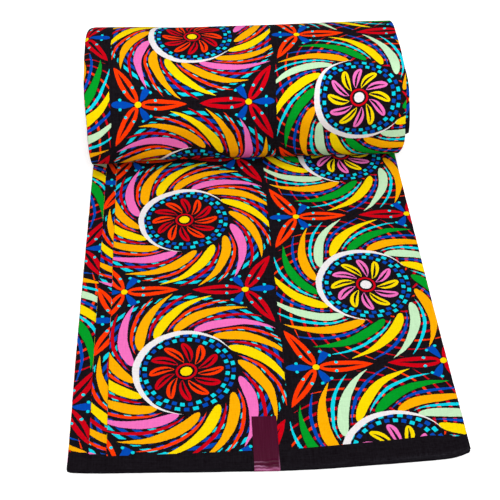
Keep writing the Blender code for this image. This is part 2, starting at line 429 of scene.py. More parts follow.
def rolledUp(flatPiece, tree, path, finish):
    low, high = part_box("folded_stack")
    centre = (
        -bundle["panelWidth"] / 2 - bundle["widestDrift"] - low.x,
        bundle["flatLength"] + bundle["rollDepth"] - high.y,
        0.0,
    )
    roll = flatPiece.modifiers.new("rollUp", "NODES")
    roll.node_group = tree
    values = {"Path": path, "LeadIn": bundle["leadIn"], "Centre": centre, "Finish": finish}
    for entry in tree.interface.items_tree:
        if entry.in_out == "INPUT" and entry.name in values:
            roll[entry.identifier] = values[entry.name]
    graph = bpy.context.evaluated_depsgraph_get()
    shape = bpy.data.meshes.new_from_object(flatPiece.evaluated_get(graph))
    flatPiece.modifiers.clear()
    shape.name = flatPiece.name
    flatPiece.data = shape
    shape.set_sharp_from_angle(angle=math.radians(bundle["sharpAngle"]))
    print("rolled up", flatPiece.name, len(shape.polygons), "faces")
    return flatPiece


# Layers of cloth, built flat: x across, y along the path, z up through the stack

layering = {
    "roundOff": 0.0003,  # how far a fold's rounded edge falls back at its faces
    "groove": 0.0012,  # depth of the slit between one fold and the next
    "cutRoundOff": 0.0001,  # the same two for the cut ends of the layers
    "slit": 0.0006,
    "wanderSide": 0.0008,  # how far the folds' edges and the cut ends stray from one another
    "wanderEnd": 0.0007,
    "rim": 0.0034,  # from an edge to the first column or station inside it
    "columnStep": 0.0052,
    "rimSlide": 0.083,  # each fold shows another stretch of the print at its edge
    "seed": 11,
}

edgeWaves = {  # how one fold's edge wanders past the next: a step of its own, a slow wave and a quick one
    "step": 0.6,
    "depth": 0.4,
    "turn": 6.3,
    "slow": (3.0, 9.0),  # waves in a metre, from and to
    "quick": (14, 30),
    "slowShare": 0.35,
    "quickShare": 0.15,
}

bakeMap = {  # the map for baking: both faces above each other, then the rims in narrow bands
    "margin": 0.005,
    "room": 1.01,
    "faceHeight": 0.44,
    "faceStep": 0.45,
    "rimsFrom": 0.915,
    "rimStep": 0.02,
    "rimHeight": 0.016,
    "endRun": 0.9,  # share of the map's width that the rims of the cut ends take
}

stationSteps = [  # path length up to which the step holds, and the step
    (0.40, 0.0055),
    (0.95, 0.0032),
    (1.22, 0.0028),
]

edgeDrift = [  # path length, left, right: how far the two edges wander sideways
    (0.0, 0.0, 0.0),
    (0.14, -0.0012, -0.0010),
    (0.38, -0.0013, -0.0012),
    (0.5853, 0.0, 0.0),
    (0.6855, -0.0028, 0.0016),
    (0.7350, -0.0056, 0.0026),
    (0.7600, -0.0050, 0.0030),
    (0.8000, -0.0030, 0.0026),
    (0.8700, -0.0010, 0.0014),
    (0.9000, -0.0010, 0.0038),
    (0.9284, 0.0004, 0.0004),
    (1.0981, 0.0040, 0.0041),
    (1.1653, 0.0056, 0.0070),
    (1.22, 0.0064, 0.0095),
]

nearEdge = [  # across, and how far the near end lies back there
    (-0.183, 0.0084),
    (-0.179, 0.0068),
    (-0.150, 0.0048),
    (-0.110, 0.0035),
    (-0.040, 0.0011),
    (0.030, -0.0003),
    (0.100, 0.0021),
    (0.140, 0.0039),
    (0.168, 0.0063),
    (0.183, 0.0114),
]

ends = {
    "bowFade": 0.24,  # length over which the near end's bow dies away
    "farSlant": 0.0012,  # the far end is cut a little askew
    "farCorner": 0.0045,
    "farCornerFrom": 0.975,  # share of the width at which that corner starts
    "farFade": 0.040,
}

stackPieces = {
    "foldedStack": {
        "standsFor": "folded_stack",
        "low": 0.0,
        "high": 0.0040,
        "layers": 11,
        "leftFolds": [0, 1, 3, 5, 7, 9, 11],  # layer borders where one fold's edge ends
        "rightFolds": [0, 2, 4, 6, 8, 10, 11],
        "rowStep": 0.5,  # layers from one row of points at the edge to the next
        "left": 0.0,  # how far in its edges lie, and how much more the left one does at the near end
        "right": 0.0,
        "skew": 0.0,
        "slide": (0.061, 0.145),  # of the print, across and along
        "selvage": 0.0195,  # at the near end: its width in the middle, and its change across
        "selvageSlant": -0.008,
        "flat": (0.366, 1.22),
        "rests": [],
    },
    "secondPanel": {
        "standsFor": "second_panel",
        "low": 0.0043,
        "high": 0.0053,
        "layers": 2,
        "leftFolds": [0, 2],
        "rightFolds": [0, 1, 2],
        "rowStep": 0.25,
        "left": 0.0160,
        "right": 0.0004,
        "skew": 0.0022,
        "slide": (0.077, 0.145),
        "selvage": 0.0172,
        "selvageSlant": -0.004,
        "flat": (0.350, 1.22),
        "rests": ["foldedStack"],
    },
    "topPanel": {
        "standsFor": "top_panel",
        "low": 0.0056,
        "high": 0.0066,
        "layers": 2,
        "leftFolds": [0, 2],
        "rightFolds": [0, 1, 2],
        "rowStep": 0.25,
        "left": 0.0285,
        "right": 0.0001,
        "skew": 0.0066,
        "slide": (0.075, -0.1134),
        "selvage": 0.0191,
        "selvageSlant": 0.029,
        "flat": (0.338, 1.22),
        "rests": ["secondPanel"],
    },
}


def smoothShare(value):
    value = min(max(value, 0.0), 1.0)
    return value * value * (3 - 2 * value)


def driftAt(length):
    for (start, leftA, rightA), (end, leftB, rightB) in zip(edgeDrift, edgeDrift[1:]):
        if length <= end:
            share = smoothShare((length - start) / (end - start))
            return leftA + (leftB - leftA) * share, rightA + (rightB - rightA) * share
    return edgeDrift[-1][1:]


def throughPoints(table, place):  # a smooth line through the rows of a table
    place = min(max(place, table[0][0]), table[-1][0])
    number = next(row for row in range(len(table) - 1) if place <= table[row + 1][0])
    (startX, startY), (endX, endY) = table[number], table[number + 1]

    def slope(row):
        before, after = table[max(row - 1, 0)], table[min(row + 1, len(table) - 1)]
        return (after[1] - before[1]) / (after[0] - before[0]) * (endX - startX)

    share = (place - startX) / (endX - startX)
    rest = 1 - share
    bend = rest * (slope(number) - (endY - startY)) - share * (slope(number + 1) - (endY - startY))
    return startY * rest + endY * share + share * rest * bend


def bowAt(x, length):
    return throughPoints(nearEdge, x) * max(0.0, 1 - length / ends["bowFade"]) ** 2


def stations():
    found = [layering["rim"]]
    for until, step in stationSteps:
        until = min(until, bundle["clothWidth"] - layering["rim"])
        count = round((until - found[-1]) / step)
        start = found[-1]
        found += [start + (until - start) * number / count for number in range(1, count + 1)]
    return [0.0, *found, bundle["clothWidth"]]


def columnShares():
    width, rim = bundle["panelWidth"], layering["rim"]
    count = round((width - 2 * rim) / layering["columnStep"])
    return [0.0, *[(rim + (width - 2 * rim) * number / count) / width for number in range(count + 1)], 1.0]


class LayeredEdge:  # how far each layer's edge lies in from the panel's outline, on one side or end
    def __init__(self, borders, roundOff, slit, wander, chance):
        self.borders, self.roundOff, self.slit, self.wander = borders, roundOff, slit, wander
        self.waves = [
            (
                chance.random() * edgeWaves["step"],
                chance.uniform(*edgeWaves["slow"]),
                chance.random() * edgeWaves["turn"],
                chance.uniform(*edgeWaves["quick"]),
            )
            for border in borders[1:]
        ]

    def edgeOf(self, fold, place):
        step, slow, turn, quick = self.waves[fold]
        wave = 0.5 + edgeWaves["slowShare"] * math.sin(slow * place * 2 * math.pi + turn)
        wave += edgeWaves["quickShare"] * math.sin(quick * place * 2 * math.pi + 2 * turn)
        return self.wander * (step + edgeWaves["depth"] * wave)

    def inset(self, level, place):
        for fold, (low, high) in enumerate(zip(self.borders, self.borders[1:])):
            if level == high and high != self.borders[-1]:
                return max(self.edgeOf(fold, place), self.edgeOf(fold + 1, place)) + self.slit
            if level <= high:
                across = (2 * level - low - high) / (high - low)
                return self.edgeOf(fold, place) + self.roundOff * (1 - math.sqrt(max(0.0, 1 - across**2)))


def meshOf(name, points, faces, maps):
    shape = bpy.data.meshes.new(name)
    shape.from_pydata(points, [], faces)
    for mapName, places in maps.items():
        layer = shape.uv_layers.new(name=mapName)
        layer.uv.foreach_set("vector", [value for place in places for value in place])
    shape.shade_smooth()
    return linked(name, shape)


class FlatPanel:  # a panel's points and faces, laid flat, with their places on the print and the bake's map
    def __init__(self, name, piece):
        chance = random.Random(layering["seed"] + len(name))
        sides = (layering["roundOff"], layering["groove"], layering["wanderSide"], chance)
        cuts = (layering["cutRoundOff"], layering["slit"], layering["wanderEnd"], chance)
        every = list(range(piece["layers"] + 1))
        self.left = LayeredEdge(piece["leftFolds"], *sides)
        self.right = LayeredEdge(piece["rightFolds"], *sides)
        self.near, self.far = LayeredEdge(every, *cuts), LayeredEdge(every, *cuts)
        self.piece, self.alongs, self.shares = piece, stations(), columnShares()
        self.lastStation, self.lastColumn = len(self.alongs) - 1, len(self.shares) - 1
        self.points, self.prints, self.faces, self.cloth, self.bake = [], [], [], [], []

    def addPoint(self, level, station, column):
        piece, length, share = self.piece, self.alongs[station], self.shares[column]
        if station == 0:
            length = self.near.inset(level, share)
        elif station == self.lastStation:
            length -= self.far.inset(level, share)
        corner = max(0.0, (share - ends["farCornerFrom"]) / (1 - ends["farCornerFrom"]))
        trim = ends["farSlant"] * share**4 + ends["farCorner"] * corner
        length -= trim * max(0.0, 1 - (bundle["clothWidth"] - self.alongs[station]) / ends["farFade"])
        driftLeft, driftRight = driftAt(length)
        skew = piece["skew"] * max(0.0, 1 - length / bundle["flatLength"])
        leftX = -bundle["panelWidth"] / 2 + driftLeft + piece["left"] + skew
        rightX = bundle["panelWidth"] / 2 + driftRight - piece["right"]
        x = leftX + (rightX - leftX) * share
        if column == 0:
            x = leftX + self.left.inset(level, length)
        elif column == self.lastColumn:
            x = rightX - self.right.inset(level, length)
        height = piece["low"] + (piece["high"] - piece["low"]) * level / piece["layers"]
        self.points.append((x, length + bowAt(x, length), height))
        self.prints.append((x, length))
        return len(self.points) - 1

    def addFace(self, corners, bakePlaces, slide=0.0):
        self.faces.append(corners)
        self.cloth += [(self.prints[corner][0] + slide, self.prints[corner][1]) for corner in corners]
        self.bake += bakePlaces

    def outline(self):  # once round the panel, each place as station and column
        loop = [(station, 0) for station in range(self.lastStation)]
        loop += [(self.lastStation, column) for column in range(self.lastColumn)]
        loop += [(station, self.lastColumn) for station in range(self.lastStation, 0, -1)]
        return loop + [(0, column) for column in range(self.lastColumn, 0, -1)]

    def lengthOnMap(self, station):
        return bakeMap["margin"] + self.alongs[station] / (bakeMap["room"] * bundle["clothWidth"])

    def addRims(self, loop, rings, levels):
        for row, (lower, upper) in enumerate(zip(rings, rings[1:])):
            slide = layering["rimSlide"] * int(levels[row])
            for here, ahead in zip(loop, loop[1:] + loop[:1]):
                onSide = here[1] == ahead[1]
                firstEdge = here[1] == 0 if onSide else here[0] == 0
                band = bakeMap["rimsFrom"] + bakeMap["rimStep"] * (2 * (not onSide) + (not firstEdge))
                spots = []
                cornerPlaces = ((here, row), (here, row + 1), (ahead, row + 1), (ahead, row))
                for (station, column), rise in cornerPlaces:
                    run = bakeMap["margin"] + self.shares[column] * bakeMap["endRun"]
                    if onSide:
                        run = self.lengthOnMap(station)
                    spots.append((run, band + bakeMap["rimHeight"] * rise / (len(levels) - 1)))
                self.addFace((lower[here], upper[here], upper[ahead], lower[ahead]), spots, slide)

    def addCover(self, ring, level, underside):
        grid = dict(ring)
        for station in range(1, self.lastStation):
            for column in range(1, self.lastColumn):
                grid[station, column] = self.addPoint(level, station, column)
        base = bakeMap["margin"] + bakeMap["faceStep"] * (not underside)
        for station in range(self.lastStation):
            for column in range(self.lastColumn):
                square = [(station, column), (station, column + 1)]
                square += [(station + 1, column + 1), (station + 1, column)]
                if underside:
                    square.reverse()
                spots = [
                    (self.lengthOnMap(row), base + bakeMap["faceHeight"] * self.shares[place])
                    for row, place in square
                ]
                self.addFace([grid[place] for place in square], spots)


def flatLayers(name, piece):
    panel = FlatPanel(name, piece)
    loop = panel.outline()
    steps = round(piece["layers"] / piece["rowStep"])
    levels = [number * piece["rowStep"] for number in range(steps + 1)]
    rings = [{place: panel.addPoint(level, *place) for place in loop} for level in levels]
    panel.addRims(loop, rings, levels)
    panel.addCover(rings[0], levels[0], True)
    panel.addCover(rings[-1], levels[-1], False)
    return meshOf(name, panel.points, panel.faces, {"clothUV": panel.cloth, "OFBake": panel.bake})


# Inks of the print, red, green and blue as the eye sees them

inks = {
    "black": (22, 18, 23),
    "amber": (253, 175, 0),
    "yellow": (252, 219, 0),
    "orange": (254, 57, 0),
    "red": (206, 0, 22),
    "pink": (244, 113, 191),
    "blue": (0, 73, 180),
    "cyan": (12, 213, 231),
    "white": (238, 233, 234),
    "green": (0, 155, 39),
    "paleGreen": (198, 236, 193),
}

inkStrength = 0.84  # share of that brightness which gives the same tone under these lamps


def linear(values):  # from the eye's scale to the light's own
    found = []
    for value in values:
        share = value / 255
        found.append(share / 12.92 if share <= 0.04045 else ((share + 0.055) / 1.055) ** 2.4)
    return found


def ink(name):
    return (*[inkStrength * value for value in linear(inks[name])], 1.0)


def paint(under, over, mask):
    made = newNode(mask.tree, "ShaderNodeMix", data_type="RGBA")
    feed(made.inputs[0], mask)
    feed(made.inputs[6], under)
    feed(made.inputs[7], over)
    return Wire(made.outputs[2])


def pickInk(number, names):
    share = ((number + 0.5) / len(names)).maths("FRACT")
    made = newNode(number.tree, "ShaderNodeValToRGB", share)
    band = made.color_ramp
    band.interpolation = "CONSTANT"
    while len(band.elements) < len(names):
        band.elements.new(0.5)
    for place, name in enumerate(names):
        band.elements[place].position = place / len(names)
        band.elements[place].color = ink(name)
    return Wire(made.outputs["Color"])


# The print: a common half drop repeat of turning suns, with leaves between them

sunPrint = {  # metres; a ring is its radius and half width
    "across": 0.190,  # from one column of suns to the next
    "along": 0.2194,
    "edgeBleed": 0.0006,  # fine unevenness of every edge
    "bleedScale": 900.0,
    "handDrift": 0.0024,  # slow unevenness, as of a block cut by hand
    "driftScale": 22.0,
    "sprayDots": (0.0205, 0.0017),
    "sprayDotCount": 12,
    "sprayHeart": 0.0036,
    "disc": 0.1050,  # black ground of a sun
    "lattice": (0.0560, 0.1022),  # the squares behind the blades, from and to
    "latticeRow": 0.0078,
    "latticeBand": 0.27,  # half a row's painted share, and half a square's
    "latticeSquare": 0.30,
    "latticeCount": 40,
    "latticeLean": 0.85,
    "leanFrom": 0.0500,
    "leanOver": 0.055,
    "checkRings": [(0.0405, 0.0), (0.0462, math.pi / 32)],  # radius and turn
    "checkCount": 32,
    "checkHeight": 0.0020,
    "checkWidth": 0.29,
    "crescent": 0.0522,
    "hollow": 0.0500,  # the round cut out of the crescent, and how far it is set off
    "hollowOff": (0.0042, -0.0026),
    "heartRing": (0.0092, 0.0011),
    "heart": 0.0058,
    "speckEvery": 0.055,
    "speck": 0.0008,
}

# "outline" is the black round each blade, and "arc" lies behind the blades of the cool suns
petalRings = {  # count, inner and outer radius, half width, swirl, turn, how round the root and the tip are
    "leaf": (3, 0.003, 0.056, 0.0070, 0.0, 0.0, 0.6, 0.9),
    "bud": (3, 0.004, 0.030, 0.0042, 0.0, math.pi / 3, 0.8, 0.5),
    "rib": (3, 0.007, 0.046, 0.0019, 0.0, 0.0, 0.5, 1.0),
    "arc": (24, 0.050, 0.1055, 0.0034, -1.15, 0.0, 0.5, 0.6),
    "slim": (16, 0.054, 0.1050, 0.0029, 0.8075, math.pi / 16 + 0.04, 0.9, 0.6),
    "outline": (16, 0.0500, 0.1062, 0.0096, 0.85, 0.0, 0.45, 0.8),
    "blade": (16, 0.0515, 0.1048, 0.0081, 0.85, 0.0, 0.45, 0.8),
    "inner": (12, 0.0115, 0.0365, 0.0048, -0.35, 0.0, 0.9, 0.5),
    "ray": (12, 0.0130, 0.0340, 0.0014, -0.35, 0.0, 0.5, 0.8),
}

sunInks = {  # for the warm suns and for the cool ones
    "slim": (["red", "orange"], ["blue", "cyan"]),
    "blade": (["amber", "yellow", "amber", "pink"], ["green", "yellow", "paleGreen", "amber"]),
    "inner": (["red", "orange"], ["pink", "yellow"]),
}


def halfDropGroup():
    group, given, out = startTree(
        "halfDrop",
        "ShaderNodeTree",
        [("Place", "Vector"), ("ShiftAcross", "Float"), ("ShiftAlong", "Float")],
        [(entry, "Float") for entry in ("Across", "Along", "Distance", "Angle", "Odd")],
    )
    across, along, _ = given["Place"].split()
    column = (across - given["ShiftAcross"]) / sunPrint["across"]
    number = column.maths("ROUND")
    odd = (number * 0.5).maths("FRACT") * 2.0
    offAcross = (column - number) * sunPrint["across"]
    row = (along - given["ShiftAlong"]) / sunPrint["along"] - odd * 0.5
    offAlong = (row - row.maths("ROUND")) * sunPrint["along"]
    feed(out.inputs["Across"], offAcross)
    feed(out.inputs["Along"], offAlong)
    feed(out.inputs["Distance"], (offAcross * offAcross + offAlong * offAlong).maths("SQRT"))
    feed(out.inputs["Angle"], offAlong.maths("ARCTAN2", offAcross))
    feed(out.inputs["Odd"], odd)
    return group


def petalGroup():
    group, given, out = startTree(
        "petalRing",
        "ShaderNodeTree",
        [
            (entry, "Float")
            for entry in "Distance Angle Count Inner Outer HalfWidth Swirl Turn Root Tip".split()
        ],
        [("Mask", "Float"), ("Number", "Float")],
    )
    share = (given["Distance"] - given["Inner"]) / (given["Outer"] - given["Inner"])
    share = share.ramp(0.0, 1.0, kind="LINEAR")
    phase = (given["Angle"] + given["Swirl"] * share + given["Turn"]) * given["Count"] / (2 * math.pi)
    side = ((phase.maths("FRACT") - 0.5) * given["Distance"] * (2 * math.pi) / given["Count"]).size()
    width = (share ** given["Root"]) * ((1.0 - share) ** given["Tip"]) * given["HalfWidth"]
    feed(out.inputs["Mask"], side.below(width))
    feed(out.inputs["Number"], phase.maths("FLOOR"))
    return group


def sunPrintGroup():
    group, given, out = startTree(
        "sunPrint", "ShaderNodeTree", [("Place", "Vector")], [("Color", "Color")]
    )
    halfDrop, petalRing = halfDropGroup(), petalGroup()

    def wobble(scale, amount):
        made = newNode(group, "ShaderNodeTexNoise", given["Place"], None, scale, 2.0)
        off = Wire(made.outputs["Color"]).vector("SUBTRACT", (0.5,) * 3)
        return off.vector("MULTIPLY", (amount * 2,) * 3)

    place = given["Place"].vector("ADD", wobble(sunPrint["bleedScale"], sunPrint["edgeBleed"]))
    place = place.vector("ADD", wobble(sunPrint["driftScale"], sunPrint["handDrift"]))

    def petals(at, name, turn=0.0):
        count, inner, outer, halfWidth, swirl, start, root, tip = petalRings[name]
        widest = root / (root + tip)
        full = (widest**root) * ((1 - widest) ** tip)
        return useGroup(
            group,
            petalRing,
            Distance=at["Distance"],
            Angle=at["Angle"],
            Count=float(count),
            Inner=inner,
            Outer=outer,
            HalfWidth=halfWidth / full,
            Swirl=swirl,
            Turn=start + turn,
            Root=root,
            Tip=tip,
        )

    def ring(at, radius, halfWidth):
        return (at["Distance"] - radius).size().below(halfWidth)

    def phaseOf(angle, count):
        return angle * (count / (2 * math.pi))

    def dots(at, radius, halfWidth, count, turn):
        phase = phaseOf(at["Angle"] + turn, count)
        side = (phase.maths("FRACT") - 0.5) * at["Distance"] * (2 * math.pi / count)
        off = at["Distance"] - radius
        return (side * side + off * off).below(halfWidth**2)

    # Leaf sprays where three suns meet, one kind pointing left and one right
    colour = ink("black")
    across, along = sunPrint["across"], sunPrint["along"]
    sprays = [("red", across / 3, along / 2, 0.0), ("orange", 2 * across / 3, 0.0, math.pi / 3)]
    for leafInk, shiftAcross, shiftAlong, turn in sprays:
        spray = useGroup(group, halfDrop, Place=place, ShiftAcross=shiftAcross, ShiftAlong=shiftAlong)
        for name, petalInk in (("leaf", leafInk), ("rib", "black"), ("bud", "blue")):
            colour = paint(colour, ink(petalInk), petals(spray, name, turn)["Mask"])
        spots = dots(spray, *sunPrint["sprayDots"], sunPrint["sprayDotCount"], turn)
        colour = paint(colour, ink("cyan"), spots)
        colour = paint(colour, ink("yellow"), spray["Distance"].below(sunPrint["sprayHeart"]))

    # The suns: warm ones over blue checks in one column, cool ones over red arcs in the next
    sun = useGroup(group, halfDrop, Place=place, ShiftAcross=0.0, ShiftAlong=0.0)
    distance, odd = sun["Distance"], sun["Odd"]

    def either(number, warm, cool):
        return paint(pickInk(number, warm), pickInk(number, cool), odd)

    def inked(under, name):
        drawn = petals(sun, name)
        return paint(under, either(drawn["Number"], *sunInks[name]), drawn["Mask"])

    colour = paint(colour, ink("black"), distance.below(sunPrint["disc"]))
    inner, outer = sunPrint["lattice"]
    row = (distance - inner) / sunPrint["latticeRow"]
    inRow = (row.maths("FRACT") - 0.5).size().below(sunPrint["latticeBand"])
    inRow = inRow * distance.above(inner) * distance.below(outer)
    lean = (distance - sunPrint["leanFrom"]) / sunPrint["leanOver"] * sunPrint["latticeLean"]
    beside = phaseOf(sun["Angle"] + lean, sunPrint["latticeCount"]).maths("FRACT") - 0.5
    squares = inRow * beside.size().below(sunPrint["latticeSquare"]) * odd.below(0.5)
    colour = paint(colour, pickInk(row.maths("FLOOR"), ["blue", "blue", "cyan"]), squares)
    arcs = petals(sun, "arc")
    inArcs = arcs["Mask"] * odd.above(0.5)
    colour = paint(colour, pickInk(arcs["Number"], ["red", "orange", "red"]), inArcs)
    colour = inked(colour, "slim")
    colour = paint(colour, ink("black"), petals(sun, "outline")["Mask"])
    colour = inked(colour, "blade")
    for radius, turn in sunPrint["checkRings"]:
        phase = phaseOf(sun["Angle"] + turn, sunPrint["checkCount"])
        inCheck = (phase.maths("FRACT") - 0.5).size().below(sunPrint["checkWidth"])
        inCheck = inCheck * ring(sun, radius, sunPrint["checkHeight"])
        colour = paint(colour, pickInk(phase.maths("FLOOR"), ["blue", "cyan"]), inCheck)
    offAcross, offAlong = sun["Across"] - sunPrint["hollowOff"][0], sun["Along"] - sunPrint["hollowOff"][1]
    outside = (offAcross * offAcross + offAlong * offAlong).above(sunPrint["hollow"] ** 2)
    colour = paint(colour, ink("white"), distance.below(sunPrint["crescent"]) * outside)
    colour = inked(colour, "inner")
    colour = paint(colour, ink("black"), petals(sun, "ray")["Mask"])
    colour = paint(colour, ink("red"), ring(sun, *sunPrint["heartRing"]))
    heart = paint(ink("yellow"), ink("white"), odd)
    colour = paint(colour, heart, distance.below(sunPrint["heart"]))

    # Specks where wax was left on the cloth
    closeness = 1 / sunPrint["speckEvery"]
    specks = newNode(group, "ShaderNodeTexVoronoi", place, None, closeness)
    inSpeck = Wire(specks.outputs["Distance"]).below(sunPrint["speck"] * closeness)
    feed(out.inputs["Color"], paint(colour, ink("black"), inSpeck))
    return group


cotton = {
    "specular": 0.015,
    "sheen": 0.006,
    "sheenRoughness": 0.4,
    "roughness": (0.86, 0.70),  # between the threads, and on them
    "heights": (-0.5, 1.0),  # of the threads, as the weave gives them
    "threadPitch": 0.00042,
    "slub": 0.26,
    "slubScale": (1300.0, 45.0),  # across a thread, and along it
    "threadHeight": 0.6,
    "slubHeight": 0.9,
    "tone": 0.98,  # and how much grain, blotches and threads change it
    "grain": 0.13,
    "grainScale": 380.0,
    "blotch": 0.06,
    "blotchScale": 26.0,
    "threadTone": 0.04,
    "bump": 0.5,
    "bumpDistance": 0.00008,
    "threadSheen": 0.0080,  # painted sheen of the threads in fine flecks, seen on the dark ink only
    "threadSheenBlue": 1.25,
    "fray": 0.0060,  # paler along the cut near edge, towards the right
    "frayAlong": (0.0004, 0.0055),
    "frayAcross": (-0.02, 0.13),
    "frayEven": 0.7,
    "frayLint": 3.0,
    "farSelvage": 0.020,
    "cornerFrom": 0.145,  # towards the right corner the near selvage narrows
    "cornerLess": 0.0062,
}


def weaveGroup():
    group, given, out = startTree(
        "plainWeave",
        "ShaderNodeTree",
        [("Place", "Vector"), ("Pitch", "Float"), ("Slub", "Float")],
        [("Height", "Float"), ("Tone", "Float"), ("Lint", "Float")],
    )
    across, along, _ = given["Place"].split()
    warp = (across * math.pi / given["Pitch"]).maths("SINE")
    weft = (along * math.pi / given["Pitch"]).maths("SINE")
    threads = (warp * weft).size()

    def streaks(scaleAcross, scaleAlong, seed):
        spread = given["Place"].vector("MULTIPLY", (scaleAcross, scaleAlong, 1.0))
        made = newNode(group, "ShaderNodeTexNoise", spread, seed, 1.0, 2.0, 0.5, noise_dimensions="4D")
        return Wire(made.outputs[0]) - 0.5

    fine, coarse = cotton["slubScale"]
    slubs = streaks(fine, coarse, 1.0) + streaks(coarse, fine, 2.0)
    grain = streaks(cotton["grainScale"], cotton["grainScale"], 7.0)
    blotch = streaks(cotton["blotchScale"], cotton["blotchScale"], 5.0)
    tone = slubs * given["Slub"] + cotton["tone"] + grain * cotton["grain"]
    feed(out.inputs["Height"], threads * cotton["threadHeight"] + slubs * cotton["slubHeight"])
    feed(out.inputs["Tone"], tone + blotch * cotton["blotch"] + threads * cotton["threadTone"])
    # flecks for the painted thread sheen, and for the fray
    feed(out.inputs["Lint"], slubs + grain)
    return group


def printedCotton(name, piece, printGroup, weave):
    made = bpy.data.materials.new(name)
    made.use_nodes = True
    tree = made.node_tree
    shader = tree.nodes["Principled BSDF"]
    place = Wire(newNode(tree, "ShaderNodeUVMap", uv_map="clothUV").outputs[0])
    moved = newNode(tree, "ShaderNodeMapping", place, (*piece["slide"], 0.0))
    colour = useGroup(tree, printGroup, Place=Wire(moved.outputs[0]))["Color"]
    threads = useGroup(tree, weave, Place=place, Pitch=cotton["threadPitch"], Slub=cotton["slub"])
    across, along, _ = place.split()
    selvage = across * piece["selvageSlant"] + piece["selvage"]
    toCorner = across.ramp(cotton["cornerFrom"], bundle["panelWidth"] / 2, 0.0, cotton["cornerLess"])
    inNear = along.below(selvage - toCorner)
    inFar = along.above(bundle["clothWidth"] - cotton["farSelvage"])
    colour = paint(colour, ink("black"), inNear.maths("MAXIMUM", inFar))
    toned = newNode(tree, "ShaderNodeVectorMath", colour, operation="SCALE")
    feed(toned.inputs["Scale"], threads["Tone"])
    fray = along.ramp(*cotton["frayAlong"], cotton["fray"], 0.0) * across.ramp(*cotton["frayAcross"])
    fray = fray * (threads["Lint"] * cotton["frayLint"] + cotton["frayEven"])
    # painted sheen of the threads in fine flecks, with the paler fray along the near edge, added over the
    # colour
    lifted = threads["Lint"] * cotton["threadSheen"] + fray
    sheenAndFibres = joinAxes(tree, lifted, lifted, lifted * cotton["threadSheenBlue"])
    feed(shader.inputs["Base Color"], Wire(toned.outputs[0]).vector("ADD", sheenAndFibres))
    roughness = threads["Height"].ramp(*cotton["heights"], *cotton["roughness"], "LINEAR")
    feed(shader.inputs["Roughness"], roughness)
    bump = newNode(tree, "ShaderNodeBump")
    feed(bump.inputs["Strength"], cotton["bump"])
    feed(bump.inputs["Distance"], cotton["bumpDistance"])
    feed(bump.inputs["Height"], threads["Height"])
    feed(shader.inputs["Normal"], Wire(bump.outputs[0]))
    shader.inputs["Specular IOR Level"].default_value = cotton["specular"]
    shader.inputs["Sheen Weight"].default_value = cotton["sheen"]
    shader.inputs["Sheen Roughness"].default_value = cotton["sheenRoughness"]
    return made


# Label of thin glossy film, stuck on top and folded down over the near edge

label = {
    "width": 0.0232,
    "centre": -0.0034,
    "onTop": 0.0562,  # how far back it reaches from the near edge
    "film": 0.0003,
    "top": 0.00690,  # height of its lower face on the top panel
    "front": -0.0004,  # where it hangs, before the near edge
    "bend": 0.0012,
    "foot": 0.0019,  # height of its lower end
    "tilt": 0.008,  # how far it leans sideways for each metre along it
    "tiltFrom": 0.03,
    "ripples": 0.00032,
    "rippleWaver": 0.0004,
    "turnAt": 0.6,  # share of the bend from which the wrinkles and the painted highlights are measured
    "topRows": 46,
    "topStep": 0.0011,
    "fineStep": 0.0003,
    "fineTo": 0.0004,  # from the bend's start
    "bendGap": 0.0002,
    "bendRows": 12,
    "frontRows": 14,
    "columns": 26,
}

filmRipples = [  # wrinkles where the film turns down: how far behind the edge, half width, height, slant
    (0.0062, 0.0008, 0.6, 0.0015),
    (0.0022, 0.0007, 0.8, 0.0020),
    (-0.0012, 0.0009, 0.6, -0.0015),
    (-0.0034, 0.0007, 0.5, 0.0010),
]


def labelSection():
    top, front, bend = label["top"], label["front"], label["bend"]
    found = [(label["onTop"] - label["topStep"] * number, top) for number in range(label["topRows"])]
    while found[-1][0] > front + bend + label["fineTo"]:
        found.append((found[-1][0] - label["fineStep"], top))
    start = found[-1][0] - label["bendGap"]
    for number in range(label["bendRows"] + 1):
        angle = math.radians(90 * number / label["bendRows"])
        found.append((start + (front - start) * math.sin(angle), top - bend * (1 - math.cos(angle))))
    low, rows = found[-1][1], label["frontRows"]
    return found + [(front, low + (label["foot"] - low) * number / rows) for number in range(1, rows + 1)]


def rippleAt(behind, share):  # share across the film, from -0.5 to 0.5
    rise = 0.0
    for place, halfWidth, height, slant in filmRipples:
        off = behind - place - slant * share + label["rippleWaver"] * math.sin(9 * share + 400 * place)
        uneven = 0.75 + 0.5 * math.sin(5 * share + 900 * place)
        rise += height * math.exp(-((off / halfWidth) ** 2)) * uneven
    return rise * label["ripples"]


